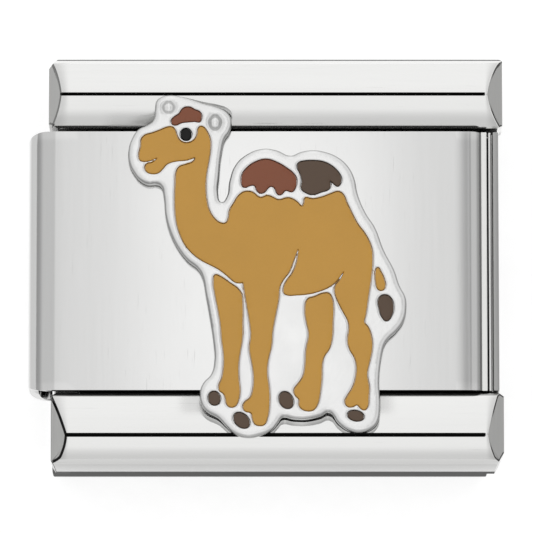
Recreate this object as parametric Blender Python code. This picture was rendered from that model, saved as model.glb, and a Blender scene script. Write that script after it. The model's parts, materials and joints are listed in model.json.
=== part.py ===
"""One link of a 9 mm modular bracelet, lying on its back, with an enamelled camel on its face.

Sizes are in millimetres, and closed_body() writes them to the meshes in metres. +Z is the way the
face looks, X runs along the bracelet and Y across it. The origin is under the middle of the link.
The face half is hinged to the back half by the upper arms of two staples, which lie in the rolled
left edge of the face plate.
"""
from math import asin, atan2, cos, pi, radians, sin, tan

import bmesh
import bpy
from mathutils import Vector

MM = 0.001
CLEARANCE = 0.01            # between pieces that touch or are bonded
CORNER = "corner"           # marks a sharp point in an outline

# the whole link
LINK_LEFT = -5.16
LINK_RIGHT = 5.16
BAND_WIDTH = 9.0
SHEET = 0.20                # the steel sheet that most pieces are folded from

# the two side rails, each with a low ridge between its inner slope and its rounded outer side
RAIL_BOTTOM = 1.45
RAIL_RIDGE = 2.85
RAIL_PITCH = 8              # degrees, by which both sides slope away right from the ridge
RAIL_SHOULDER = 0.21        # width of the rounded outer edge, and the slope at which it begins
RAIL_SHOULDER_PITCH = 28
# Distance of the inner side from the middle, bevel along its edge and the edge's height, distance of
# the ridge from the middle, and height of the rounded edge's foot.
RAIL_SECTION = {
    "rail_far": (2.94, 0.03, 2.58, 3.65, 2.32),
    "rail_near": (2.89, 0.06, 2.66, 3.83, 1.83),
}
# Left and right end: place, then the inclined facet's reach at the ridge, its lean (reach lost for
# each millimetre down) and skew (reach gained outwards), then the length and width of the outer and
# of the inner corner. The ends are ground by hand, so all four differ.
RAIL_ENDS = {
    "rail_far": (
        (-4.73, 0.29, 0.75, 0.0, 0.20, 0.23, 0.20, 0.11),
        (5.16, 0.345, 0.95, 0.0, 0.07, 0.06, 0.10, 0.06),
    ),
    "rail_near": (
        (-4.65, 0.35, 1.20, 0.12, 0.09, 0.15, 0.10, 0.06),
        (5.16, 0.36, 0.95, 0.03, 0.18, 0.33, 0.10, 0.06),
    ),
}

# the face plate, with its rolled ends
FACE_TOP = 2.75
FACE_HALF_WIDTH = 2.84
LEFT_BEND = 0.60            # outside radii
LEFT_CURL = 0.40
RIGHT_BEND = 0.33
LEFT_CURL_BOTTOM = 1.05
LEFT_CURL_END = 284         # degrees, anticlockwise from +X
RIGHT_BEND_START = 4.41
RIGHT_BEND_END = 40
RIGHT_LIP = [               # past its right bend the sheet steps out to a flat lip, and then drops
    (4.672, 2.628), (4.690, 2.640), (4.785, 2.640), (4.803, 2.633), (4.810, 2.615), (4.810, 2.270),
]
RIGHT_LIP_INSIDE = [
    (4.550, 2.475), (4.570, 2.455), (4.590, 2.440), (4.603, 2.430), (4.610, 2.415), (4.610, 2.270),
]
FACE_CORNER = (0.37, 0.17)  # the left corners are rounded by this much along and across the band

# the tray under the face plate, with its hemmed right end
TRAY_LEFT = -4.05
TRAY_RIGHT = 5.06
TRAY_BOTTOM = 1.50
TRAY_SHEET = 0.18
TRAY_HALF_WIDTH = 2.87
HEM_TOP = 2.66
HEM_INNER_TOP = 2.60
HEM_LEFT = 4.84
HEM_CREASE = (4.895, 4.94)
HEM_CREASE_DEPTH = 0.30
HEM_HALF_WIDTH = 2.84       # narrower than the floor, so it stands clear of the rails

# the back sleeve
BACK_LEFT = -4.66
BACK_RIGHT = 4.84
BACK_TOP = 1.40
BACK_HALF_WIDTH = 4.43
BACK_BEND = 0.40
BACK_SEAM = 0.12
MOUTH_NOTCH = (2.92, 0.82)  # half width across the band, and depth into the sleeve
HOOK_NOTCH = (2.92, 0.44)   # the same at the other end, where the hooks come out

# the two staples
HINGE_X = -4.72
HINGE_Z = 2.15
STAPLE_WIDTH = 0.36
STAPLE_THICK = 0.20
STAPLE_OUTER = 2.30
STAPLE_ARM_END = 0.70
STAPLE_LOWER_Z = 0.70
PADDLE_REACH = 0.58         # of the widened upper arm, from the hinge axis
PADDLE_FROM = 0.75
PADDLE_TO = 1.85
SLOT = (2.00, 2.40)         # inner and outer edge of the slots that let the staples swing
SLOT_TOP = 2.23

# hooks for the next link
HOOK_CENTRE = 1.45
HOOK_WIDTH = 1.00
HOOK_SHEET = 0.18
HOOK_CURL = 0.25

# the emblem
EMBLEM_BOTTOM = 2.87
EMBLEM_TOP = 3.13
PAD_INSET = 0.03            # of the solder pad, from the emblem's outline
PAD_HALF_WIDTH = 3.18       # it ends here, over the feet of the rails' inner slopes
POCKET_FLOOR = 3.00
ENAMEL_TOP = 3.115
STEPS_PER_POINT = 4         # facets from one outline point to the next

STEEL = ("polished_steel", (0.80, 0.80, 0.79), 0.12, 1.0)
SPRING = ("spring_steel", (0.56, 0.56, 0.55), 0.30, 1.0)
SILVER = ("emblem_silver", (0.88, 0.88, 0.88), 0.10, 1.0)
SOLDER = ("solder", (0.62, 0.62, 0.60), 0.45, 1.0)
OCHRE = ("enamel_ochre", (0.51, 0.30, 0.077), 0.25, 0.0)
RUSSET = ("enamel_russet", (0.22, 0.082, 0.052), 0.25, 0.0)
UMBER = ("enamel_umber", (0.112, 0.083, 0.067), 0.25, 0.0)
BLACK = ("enamel_black", (0.013, 0.013, 0.012), 0.25, 0.0)

# Outlines of the emblem lie in the plane of the face, anticlockwise seen as (x, y) in millimetres.
SILHOUETTE = [
    # ears and crown
    (-2.41, 3.24), (-2.38, 3.43), (-2.27, 3.54), (-2.08, 3.58), (-1.84, 3.55), (-1.32, 3.39),
    (-1.04, 3.31), (-0.84, 3.20), (-0.74, 3.00), (-0.79, 2.78),
    # nape, the gap before the hump, and both humps
    (-0.88, 2.65), (-0.96, 2.31), (-1.01, 1.81), (-1.03, 1.41), (-0.96, 1.23), (-0.85, 1.34),
    (-0.79, 1.68), (-0.66, 2.04), (-0.42, 2.27), (-0.07, 2.40), (0.22, 2.37), (0.54, 2.25),
    (0.76, 2.33), (1.02, 2.37), (1.29, 2.33), (1.57, 2.21), (1.77, 2.03), (1.91, 1.78),
    # rump and tail
    (2.00, 1.38), (2.18, 0.96), (2.36, 0.68), (2.56, 0.16), (2.78, -0.27), (2.90, -0.62),
    (3.02, -0.86), (3.04, -1.10), (2.98, -1.36), (2.82, -1.59), (2.60, -1.82),
    # hind feet
    (2.50, -2.19), (2.45, -2.69), (2.47, -3.29), (2.41, -3.58), (2.25, -3.74), (2.02, -3.80),
    (1.77, -3.75), (1.57, -3.60), (1.36, -3.36), (1.18, -3.44), (0.87, -3.51), (0.58, -3.50),
    # fore feet
    (0.36, -3.47), (0.27, -3.58), (0.13, -3.75), (-0.13, -3.87), (-0.42, -3.91), (-0.67, -3.83),
    (-0.84, -3.68), (-1.02, -3.49), (-1.28, -3.33), (-1.41, -3.12), (-1.42, -2.91), (-1.34, -2.72),
    # foreleg, chest and throat
    (-1.18, -2.54), (-1.11, -2.24), (-1.13, -1.84), (-1.22, -1.24), (-1.30, -0.78), (-1.39, -0.35),
    (-1.47, -0.22), (-1.68, -0.05), (-1.90, 0.23), (-2.07, 0.57), (-2.17, 0.92), (-2.22, 1.41),
    # chin, muzzle and brow
    (-2.27, 1.59), (-2.39, 1.64), (-2.53, 1.63), (-2.70, 1.70), (-2.86, 1.88), (-2.97, 2.12),
    (-2.98, 2.36), (-2.90, 2.63), (-2.76, 2.83), (-2.58, 2.92), (-2.45, 3.02),
]
HEAD = [
    (-2.12, 2.88), (-2.30, 2.81), (-2.46, 2.75), (-2.64, 2.69), (-2.71, 2.60), (-2.72, 2.46),
    (-2.76, 2.26), (-2.74, 2.15), (-2.66, 2.11), (-2.50, 2.13), (-2.37, 2.18, CORNER),
    (-2.47, 2.10), (-2.58, 2.07), (-2.63, 1.99), (-2.60, 1.90), (-2.47, 1.84), (-2.33, 1.86),
    (-2.23, 1.95), (-2.14, 2.05), (-1.98, 2.11), (-1.72, 2.14), (-1.53, 2.20, CORNER),
]
THROAT_AND_CHEST = [
    (-1.58, 2.12), (-1.72, 2.06), (-1.88, 2.00), (-1.94, 1.91), (-1.97, 1.61), (-1.98, 1.21),
    (-1.95, 0.81), (-1.87, 0.52), (-1.77, 0.31), (-1.63, 0.13), (-1.44, -0.03), (-1.20, -0.16),
    (-1.00, -0.27), (-0.80, -0.43), (-0.64, -0.55), (-0.50, -0.55, CORNER),
]
NEAR_FORELEG = [
    (-0.46, -0.79), (-0.42, -1.04), (-0.36, -1.39), (-0.33, -1.69), (-0.36, -1.99), (-0.31, -2.29),
    (-0.27, -2.59), (-0.29, -2.89), (-0.35, -3.06), (-0.47, -3.16), (-0.50, -3.27), (-0.44, -3.36),
    (-0.33, -3.39), (-0.30, -3.50), (-0.25, -3.62), (-0.15, -3.67), (-0.02, -3.64), (0.04, -3.52),
    (0.09, -3.14), (0.08, -2.84), (0.04, -2.49), (0.07, -2.19), (0.13, -1.94), (0.16, -1.59),
    (0.23, -1.22), (0.29, -0.89), (0.32, -0.62), (0.39, -0.48), (0.51, -0.32), (0.60, -0.10),
    (0.70, 0.17, CORNER),
]
BELLY = [
    (0.65, -0.12), (0.56, -0.34), (0.45, -0.49), (0.38, -0.64), (0.38, -0.77), (0.46, -0.82),
    (0.66, -0.82), (0.90, -0.80), (1.15, -0.74), (1.38, -0.64), (1.54, -0.51), (1.68, -0.32, CORNER),
]
NEAR_HINDLEG = [
    (1.60, -0.47), (1.50, -0.60), (1.48, -0.74), (1.56, -0.97), (1.67, -1.19), (1.77, -1.39),
    (1.79, -1.54), (1.76, -1.79), (1.80, -1.99), (1.91, -2.19), (1.95, -2.36), (1.93, -2.62),
    (1.86, -2.84), (1.75, -3.02), (1.70, -3.14), (1.76, -3.25), (1.88, -3.26), (1.97, -3.22),
    (2.03, -3.28), (2.12, -3.33), (2.20, -3.27), (2.23, -3.04), (2.24, -2.82), (2.20, -2.54),
    (2.26, -2.24), (2.31, -1.94), (2.29, -1.72), (2.23, -1.54), (2.14, -1.41, CORNER),
]
RUMP_AND_BACK = [
    (2.18, -1.19), (2.23, -0.84), (2.29, -0.44), (2.32, -0.04), (2.30, 0.21), (2.15, 0.54),
    (2.00, 0.74), (1.87, 0.99), (1.76, 1.22), (1.67, 1.41), (1.57, 1.46), (1.43, 1.42),
    (1.22, 1.34), (1.02, 1.30), (0.84, 1.31), (0.82, 1.21), (0.78, 1.12, CORNER), (0.67, 1.24),
    (0.50, 1.32), (0.27, 1.28), (0.14, 1.34), (0.04, 1.37), (-0.12, 1.33), (-0.28, 1.44),
    (-0.44, 1.46), (-0.58, 1.38), (-0.70, 1.20), (-0.79, 1.04), (-0.82, 0.86), (-0.87, 0.77),
]
NAPE = [
    (-0.98, 0.77), (-1.09, 0.85), (-1.20, 1.01), (-1.26, 1.21), (-1.29, 1.48), (-1.28, 1.81),
    (-1.23, 2.11), (-1.19, 2.41), (-1.20, 2.61), (-1.26, 2.76), (-1.34, 2.87), (-1.43, 2.89),
    (-1.48, 2.82), (-1.50, 2.70), (-1.57, 2.59), (-1.71, 2.53), (-1.85, 2.58), (-1.92, 2.70),
    (-1.96, 2.81), (-2.03, 2.88),
]
FAR_FORELEG = [
    (-1.10, -0.37), (-1.01, -0.39), (-0.78, -0.54), (-0.60, -0.67), (-0.52, -0.78), (-0.49, -1.00),
    (-0.49, -1.39), (-0.50, -1.79), (-0.55, -2.09), (-0.58, -2.38), (-0.57, -2.67), (-0.55, -2.93),
    (-0.58, -3.11), (-0.65, -3.24), (-0.76, -3.27), (-0.85, -3.20), (-0.88, -3.07), (-0.92, -2.97),
    (-1.00, -2.91), (-1.02, -2.80), (-0.96, -2.64), (-0.92, -2.38), (-0.92, -2.09), (-0.96, -1.80),
    (-0.99, -1.44), (-1.04, -1.14), (-1.11, -0.78), (-1.14, -0.52),
]
FAR_HINDLEG = [
    (0.90, -0.90), (1.04, -0.85), (1.24, -0.77), (1.36, -0.77), (1.43, -0.85), (1.47, -1.07),
    (1.46, -1.40), (1.44, -1.77), (1.38, -1.99), (1.27, -2.16), (1.23, -2.31), (1.22, -2.60),
    (1.18, -2.96), (1.12, -3.22), (1.04, -3.32), (0.91, -3.35), (0.78, -3.31), (0.71, -3.22),
    (0.71, -3.10), (0.63, -3.01), (0.60, -2.89), (0.69, -2.75), (0.79, -2.60), (0.84, -2.35),
    (0.86, -2.02), (0.92, -1.66), (0.87, -1.40), (0.84, -1.14),
]
FRONT_HUMP = [
    (-0.54, 1.70), (-0.52, 1.83), (-0.39, 2.00), (-0.20, 2.12), (0.02, 2.17), (0.22, 2.11),
    (0.46, 1.97), (0.64, 1.81), (0.68, 1.68), (0.64, 1.52), (0.57, 1.44), (0.43, 1.47),
    (0.36, 1.40), (0.29, 1.37), (0.23, 1.42), (0.18, 1.53), (0.11, 1.56), (0.05, 1.52),
    (-0.02, 1.44), (-0.11, 1.41), (-0.20, 1.47), (-0.25, 1.58), (-0.33, 1.58), (-0.47, 1.54),
    (-0.53, 1.60),
]
REAR_HUMP = [
    (0.67, 2.00), (0.71, 2.09), (0.84, 2.13), (1.05, 2.14), (1.22, 2.12), (1.39, 2.05),
    (1.53, 1.94), (1.62, 1.82), (1.65, 1.72), (1.62, 1.61), (1.56, 1.56), (1.49, 1.60),
    (1.40, 1.69, CORNER), (1.41, 1.56), (1.36, 1.49), (1.22, 1.44), (1.01, 1.38), (0.87, 1.42),
    (0.76, 1.52), (0.77, 1.69), (0.73, 1.86),
]
FORELOCK = [
    (-1.72, 3.32), (-1.81, 3.28), (-1.89, 3.17), (-1.99, 3.10), (-2.06, 3.01), (-2.03, 2.93),
    (-1.95, 2.91), (-1.83, 2.96), (-1.66, 2.98), (-1.54, 2.99), (-1.43, 2.98), (-1.39, 3.05),
    (-1.39, 3.15), (-1.44, 3.22), (-1.54, 3.26), (-1.63, 3.31),
]
TAIL = [
    (2.42, -0.21), (2.50, -0.31), (2.57, -0.47), (2.59, -0.64), (2.52, -0.72), (2.42, -0.69),
    (2.37, -0.53), (2.36, -0.36),
]
TAIL_TUFT = [
    (2.61, -0.81), (2.72, -0.89), (2.77, -1.07), (2.73, -1.27), (2.61, -1.39), (2.51, -1.31),
    (2.44, -1.11), (2.42, -0.93), (2.49, -0.83),
]
EYE = (-1.73, 2.71, 0.13, 0.14, 0)      # centre, the two half axes, and the turn in degrees
HOOVES = {
    "far_fore": (-1.11, -3.07, 0.14, 0.16, 15),
    "near_fore": (-0.52, -3.55, 0.21, 0.15, -42),
    "far_hind": (0.44, -3.11, 0.20, 0.155, -62),
    "near_hind": (1.94, -3.45, 0.19, 0.12, -12),
}


def clear_scene():
    """Empties the file that the script starts in."""
    for thing in list(bpy.data.objects):
        bpy.data.objects.remove(thing, do_unlink=True)


def material(name, colour, roughness, metallic):
    """A plain Principled material, made once and shared."""
    known = bpy.data.materials.get(name)
    if known:
        return known
    made = bpy.data.materials.new(name)
    made.use_nodes = True
    shader = made.node_tree.nodes["Principled BSDF"]
    shader.inputs["Base Color"].default_value = (*colour, 1.0)
    shader.inputs["Roughness"].default_value = roughness
    shader.inputs["Metallic"].default_value = metallic
    return made


def closed_body(name, rings, finish):
    """A skin over a run of rings with equal numbers of points, capped at both ends."""
    shape = bmesh.new()
    loops = [[shape.verts.new(Vector(point) * MM) for point in ring] for ring in rings]
    count = len(loops[0])
    for near, far in zip(loops, loops[1:]):
        for k in range(count):
            after = (k + 1) % count
            shape.faces.new((near[k], near[after], far[after], far[k]))
    shape.faces.new(loops[0])
    shape.faces.new(loops[-1])
    bmesh.ops.recalc_face_normals(shape, faces=shape.faces)
    mesh = bpy.data.meshes.new(name)
    shape.to_mesh(mesh)
    shape.free()
    mesh.materials.append(material(*finish))
    mesh.set_sharp_from_angle(angle=radians(30))
    body = bpy.data.objects.new(name, mesh)
    bpy.context.scene.collection.objects.link(body)
    return body


def slab(name, outline, bottom, top, finish):
    """A flat outline in the plane of the face, given a thickness."""
    rings = [[(x, y, z) for x, y in outline] for z in (bottom, top)]
    return closed_body(name, rings, finish)


def block(name, low, high):
    """A box between two corners, to cut with."""
    corners = [(low[0], low[1]), (high[0], low[1]), (high[0], high[1]), (low[0], high[1])]
    return slab(name, corners, low[2], high[2], STEEL)


def cut_away(body, cutter):
    """Takes the cutter's shape out of the body, and hides the cutter."""
    cutter.hide_render = True
    cutter.display_type = "WIRE"
    cut = body.modifiers.new(cutter.name, "BOOLEAN")
    cut.operation = "DIFFERENCE"
    cut.object = cutter


def arc(centre, radius, start, end, steps):
    """Points on a circle, from one angle in degrees to another."""
    angles = [radians(start + (end - start) * k / steps) for k in range(steps + 1)]
    return [(centre[0] + radius * cos(a), centre[1] + radius * sin(a)) for a in angles]


def ellipse(x, y, half_long, half_short, turn, steps=20):
    """Points round a turned ellipse."""
    c, s = cos(radians(turn)), sin(radians(turn))
    ring = []
    for k in range(steps):
        u = half_long * cos(2 * pi * k / steps)
        v = half_short * sin(2 * pi * k / steps)
        ring.append((x + u * c - v * s, y + u * s + v * c))
    return ring


def smooth_outline(points, steps=STEPS_PER_POINT):
    """A Bezier curve through the points, smooth except at those marked as corners, as a closed ring."""
    curve = bpy.data.curves.new("outline", "CURVE")
    curve.dimensions = "2D"
    curve.fill_mode = "NONE"
    curve.resolution_u = steps
    spline = curve.splines.new("BEZIER")
    spline.bezier_points.add(len(points) - 1)
    spline.use_cyclic_u = True
    for knot, point in zip(spline.bezier_points, points):
        knot.co = (point[0], point[1], 0)
        handle = "VECTOR" if CORNER in point else "AUTO"
        knot.handle_left_type = handle
        knot.handle_right_type = handle
    guide = bpy.data.objects.new("outline", curve)
    bpy.context.scene.collection.objects.link(guide)
    bpy.context.view_layer.update()
    drawn = guide.to_mesh()
    ring = [(v.co.x, v.co.y) for v in drawn.vertices]
    guide.to_mesh_clear()
    bpy.data.objects.remove(guide)
    bpy.data.curves.remove(curve)
    return ring


def shrink(ring, distance):
    """The ring moved inwards by a small distance, square to its two edges at each point."""
    area = sum(a[0] * b[1] - b[0] * a[1] for a, b in zip(ring, ring[1:] + ring[:1]))
    inwards = 1 if area > 0 else -1
    moved = []
    for k, point in enumerate(ring):
        here = Vector(point)
        before = (here - Vector(ring[k - 1])).normalized()
        after = (Vector(ring[(k + 1) % len(ring)]) - here).normalized()
        normal = (before.orthogonal() + after.orthogonal()).normalized() * inwards
        lean = max(0.6, normal.dot(before.orthogonal() * inwards))
        moved.append(tuple(here + normal * distance / lean))
    return moved


def strip(name, path, thickness, across, finish):
    """A bent flat strip. The path gives its middle line, and across() places a point of its section."""
    middle = [Vector(p) for p in path]
    rings = []
    for k, here in enumerate(middle):
        before = middle[max(k - 1, 0)]
        after = middle[min(k + 1, len(middle) - 1)]
        normal = (after - before).normalized().orthogonal() * thickness / 2
        top, bottom = here + normal, here - normal
        rings.append([across(top, -1), across(top, 1), across(bottom, 1), across(bottom, -1)])
    return closed_body(name, rings, finish)


def trim(shape, place, outwards):
    """Slices the shape off flat at a plane, and closes the cut."""
    everything = shape.verts[:] + shape.edges[:] + shape.faces[:]
    cut = bmesh.ops.bisect_plane(
        shape, geom=everything, plane_co=place, plane_no=outwards, clear_outer=True
    )
    edges = [e for e in cut["geom_cut"] if isinstance(e, bmesh.types.BMEdge)]
    bmesh.ops.contextual_create(shape, geom=edges)


def rail(name, side):
    """A solid bar with a ridged top, inclined end facets and its corners taken off. Side is 1 for
    the one at +Y."""
    outer = BAND_WIDTH / 2
    inner, lip, lip_height, ridge, foot = RAIL_SECTION[name]
    pitch = radians(RAIL_PITCH)

    def slope(width, steepest):
        """A convex curve down from the ridge: distance out and drop, as two numbers."""
        radius = width / (sin(steepest) - sin(pitch))
        turns = [pitch + (steepest - pitch) * k / 8 for k in range(9)]
        return [(radius * (sin(t) - sin(pitch)), radius * (cos(pitch) - cos(t))) for t in turns]

    profile = [(outer, RAIL_BOTTOM), (inner, RAIL_BOTTOM), (inner, lip_height - lip)]
    width = ridge - inner - lip
    steepest = 2 * atan2(RAIL_RIDGE - lip_height, width) - pitch
    profile += [(ridge - out, RAIL_RIDGE - drop) for out, drop in reversed(slope(width, steepest))]
    steepest = radians(RAIL_SHOULDER_PITCH)
    shoulder = slope(outer - RAIL_SHOULDER - ridge, steepest)
    profile += [(ridge + out, RAIL_RIDGE - drop) for out, drop in shoulder[1:]]

    # the rounded outer edge is a part of an ellipse that carries on from the shoulder's slope
    height = profile[-1][1] - foot
    share = tan(steepest) * RAIL_SHOULDER / height
    start = asin(share / (1 - share))
    across = RAIL_SHOULDER / (1 - sin(start))
    rise = height / cos(start)
    for k in range(1, 11):
        turn = start + (pi / 2 - start) * k / 10
        profile.append((outer - across * (1 - sin(turn)), foot + rise * cos(turn)))
    ends = [(end[0], way, *end[1:]) for end, way in zip(RAIL_ENDS[name], (-1, 1))]
    body = closed_body(name, [[(end[0], side * y, z) for y, z in profile] for end in ends], STEEL)
    shape = bmesh.new()
    shape.from_mesh(body.data)
    for x, way, reach, lean, skew, long, wide, inner_long, inner_wide in ends:
        facet = Vector((way, side * skew, lean))
        trim(shape, Vector((x - way * reach, side * ridge, RAIL_RIDGE)) * MM, facet)
        outwards = Vector((way * wide, side * long, 0))
        trim(shape, Vector((x - way * long, side * outer, 0)) * MM, outwards)
        inwards = Vector((way * inner_wide, -side * inner_long, 0))
        trim(shape, Vector((x - way * inner_long, side * inner, 0)) * MM, inwards)
    shape.to_mesh(body.data)
    shape.free()
    body.data.set_sharp_from_angle(angle=radians(30))
    return body


def face_plate():
    """Thin sheet. Its left end curls under, with slots for the staples, and its right end is pressed
    down to a narrow lip."""
    bend = (LINK_LEFT + LEFT_BEND, FACE_TOP - LEFT_BEND)
    curl = (LINK_LEFT + LEFT_CURL, LEFT_CURL_BOTTOM + LEFT_CURL)
    right = (RIGHT_BEND_START, FACE_TOP - RIGHT_BEND)
    edges = []
    for inset, lip in ((0, RIGHT_LIP), (SHEET, RIGHT_LIP_INSIDE)):
        edge = arc(curl, LEFT_CURL - inset, LEFT_CURL_END, 180, 12)
        edge += arc(bend, LEFT_BEND - inset, 180, 90, 12)
        edge += arc(right, RIGHT_BEND - inset, 90, RIGHT_BEND_END, 8)
        edges.append(edge + lip)
    half = FACE_HALF_WIDTH
    rings = []
    for (xo, zo), (xi, zi) in zip(*edges):
        rings.append([(xo, -half, zo), (xo, half, zo), (xi, half, zi), (xi, -half, zi)])
    plate = closed_body("face_plate", rings, STEEL)
    below = LEFT_CURL_BOTTOM - 0.1
    long, wide = FACE_CORNER
    for name, side in (("near", -1), ("far", 1)):
        quarter = [(LINK_LEFT + long - long * sin(a), side * (half - wide + wide * cos(a)))
                   for a in (pi / 2 * k / 8 for k in range(9))]
        outside = quarter + [(LINK_LEFT - 0.1, quarter[-1][1]), (LINK_LEFT - 0.1, side * (half + 0.1))]
        outside.append((LINK_LEFT + long, side * (half + 0.1)))
        cut_away(plate, slab("corner_" + name, outside, below, FACE_TOP + 0.1, STEEL))
        start, end = sorted((side * SLOT[0], side * SLOT[1]))
        slot = block("slot_" + name, (LINK_LEFT - 0.1, start, below), (TRAY_LEFT, end, SLOT_TOP))
        cut_away(plate, slot)
    return plate


def tray():
    """Floor of the face half. Its right end is turned up and hemmed, with a crease in the hem's top."""
    floor_top = TRAY_BOTTOM + TRAY_SHEET
    crease_left, crease_right = HEM_CREASE
    outer_bend = arc((TRAY_RIGHT - 0.3, TRAY_BOTTOM + 0.3), 0.3, -90, 0, 6)
    hem_round = arc((TRAY_RIGHT - 0.05, HEM_TOP - 0.05), 0.05, 0, 90, 3)
    profile = [(TRAY_LEFT, TRAY_BOTTOM)] + outer_bend + hem_round
    profile += [
        (crease_right, HEM_TOP),
        (crease_right, HEM_TOP - HEM_CREASE_DEPTH),
        (crease_left, HEM_TOP - HEM_CREASE_DEPTH),
        (crease_left, HEM_INNER_TOP),
        (HEM_LEFT, HEM_INNER_TOP),
    ]
    profile += arc((HEM_LEFT - 0.1, floor_top + 0.1), 0.1, 0, -90, 4)
    profile.append((TRAY_LEFT, floor_top))
    rings = [[(x, y, z) for x, z in profile] for y in (-TRAY_HALF_WIDTH, TRAY_HALF_WIDTH)]
    body = closed_body("tray", rings, STEEL)
    for name, side in (("near", -1), ("far", 1)):
        start, end = sorted((side * HEM_HALF_WIDTH, side * (TRAY_HALF_WIDTH + 0.1)))
        low = (HEM_LEFT - 0.04, start, floor_top + 0.12)
        cut_away(body, block("hem_end_" + name, low, (TRAY_RIGHT + 0.1, end, HEM_TOP + 0.1)))
    return body


def back_sleeve():
    """Sheet folded into a flat tube, with its seam on the hidden side and a notch at each end."""
    half, bend = BACK_HALF_WIDTH, BACK_BEND
    inner_bend = bend - SHEET
    outside = [(BACK_SEAM / 2, BACK_TOP)]
    inside = [(BACK_SEAM / 2, BACK_TOP - SHEET)]
    corners = [
        ((half - bend, BACK_TOP - bend), 90),
        ((half - bend, bend), 0),
        ((bend - half, bend), -90),
        ((bend - half, BACK_TOP - bend), -180),
    ]
    for centre, start in corners:
        outside += arc(centre, bend, start, start - 90, 5)
        inside += arc(centre, inner_bend, start, start - 90, 5)
    outside.append((-BACK_SEAM / 2, BACK_TOP))
    inside.append((-BACK_SEAM / 2, BACK_TOP - SHEET))
    rings = []
    for (yo, zo), (yi, zi) in zip(outside, inside):
        outer_edge = [(BACK_LEFT, yo, zo), (BACK_RIGHT, yo, zo)]
        rings.append(outer_edge + [(BACK_RIGHT, yi, zi), (BACK_LEFT, yi, zi)])
    sleeve = closed_body("back_sleeve", rings, STEEL)
    notch_half, depth = MOUTH_NOTCH
    low = (BACK_LEFT - 0.1, -notch_half, BACK_TOP - SHEET - 0.1)
    cut_away(sleeve, block("notch", low, (BACK_LEFT + depth, notch_half, BACK_TOP + 0.1)))
    notch_half, depth = HOOK_NOTCH
    low = (BACK_RIGHT - depth, -notch_half, BACK_TOP - SHEET - 0.1)
    cut_away(sleeve, block("hook_notch", low, (BACK_RIGHT + 0.1, notch_half, BACK_TOP + 0.1)))
    return sleeve


def staple(name, side):
    """A flat wire bent to a U. The upper arm lies in the rolled edge, and widens to a paddle."""
    half = STAPLE_THICK / 2
    web = STAPLE_OUTER - half
    bend = 0.16
    path = [(STAPLE_ARM_END, HINGE_Z)]
    path += arc((web - bend, HINGE_Z - bend), bend, 90, 0, 5)
    path += arc((web - bend, STAPLE_LOWER_Z + bend), bend, 0, -90, 5)
    path.append((STAPLE_ARM_END, STAPLE_LOWER_Z))

    def across(point, edge):
        return (HINGE_X + edge * STAPLE_WIDTH / 2, side * point.x, point.y)

    body = strip(name, path, STAPLE_THICK, across, SPRING)
    y_from, y_to = sorted((side * PADDLE_FROM, side * PADDLE_TO))
    low = (HINGE_X, y_from, HINGE_Z - half)
    high = (HINGE_X + PADDLE_REACH, y_to, HINGE_Z + half)
    paddle = block(name + "_paddle", low, high)
    paddle.hide_render = True
    paddle.display_type = "WIRE"
    joined = body.modifiers.new("paddle", "BOOLEAN")
    joined.operation = "UNION"
    joined.object = paddle
    return body


def leaf_spring(name, left, right, low, high):
    """A narrow leaf, bowed up between its two flat ends."""
    width, thickness, steps = 1.50, 0.07, 16
    path = []
    for k in range(steps + 1):
        share = k / steps
        bow = sin(pi * share) ** 2
        path.append((left + (right - left) * share, low + (high - low) * bow))

    def across(point, edge):
        return (point.x, edge * width / 2, point.y)

    return strip(name, path, thickness, across, SPRING)


def hook(name, side):
    """A tongue welded to the floor of the sleeve. It rises to the right end, and curls up and back."""
    low = SHEET + CLEARANCE + HOOK_SHEET / 2
    centre_x = TRAY_RIGHT - 0.02 - HOOK_SHEET / 2 - HOOK_CURL
    start_x, foot, level = 2.60, 3.60, 0.80
    path = [(start_x, low)]
    for k in range(9):
        share = k / 8
        rise = share * share * (3 - 2 * share)
        path.append((foot + (centre_x - foot) * share, low + (level - low) * rise))
    path += arc((centre_x, level + HOOK_CURL), HOOK_CURL, -90, 90, 10)[1:]

    def across(point, edge):
        return (point.x, side * HOOK_CENTRE + edge * HOOK_WIDTH / 2, point.y)

    return strip(name, path, HOOK_SHEET, across, SPRING)


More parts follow.
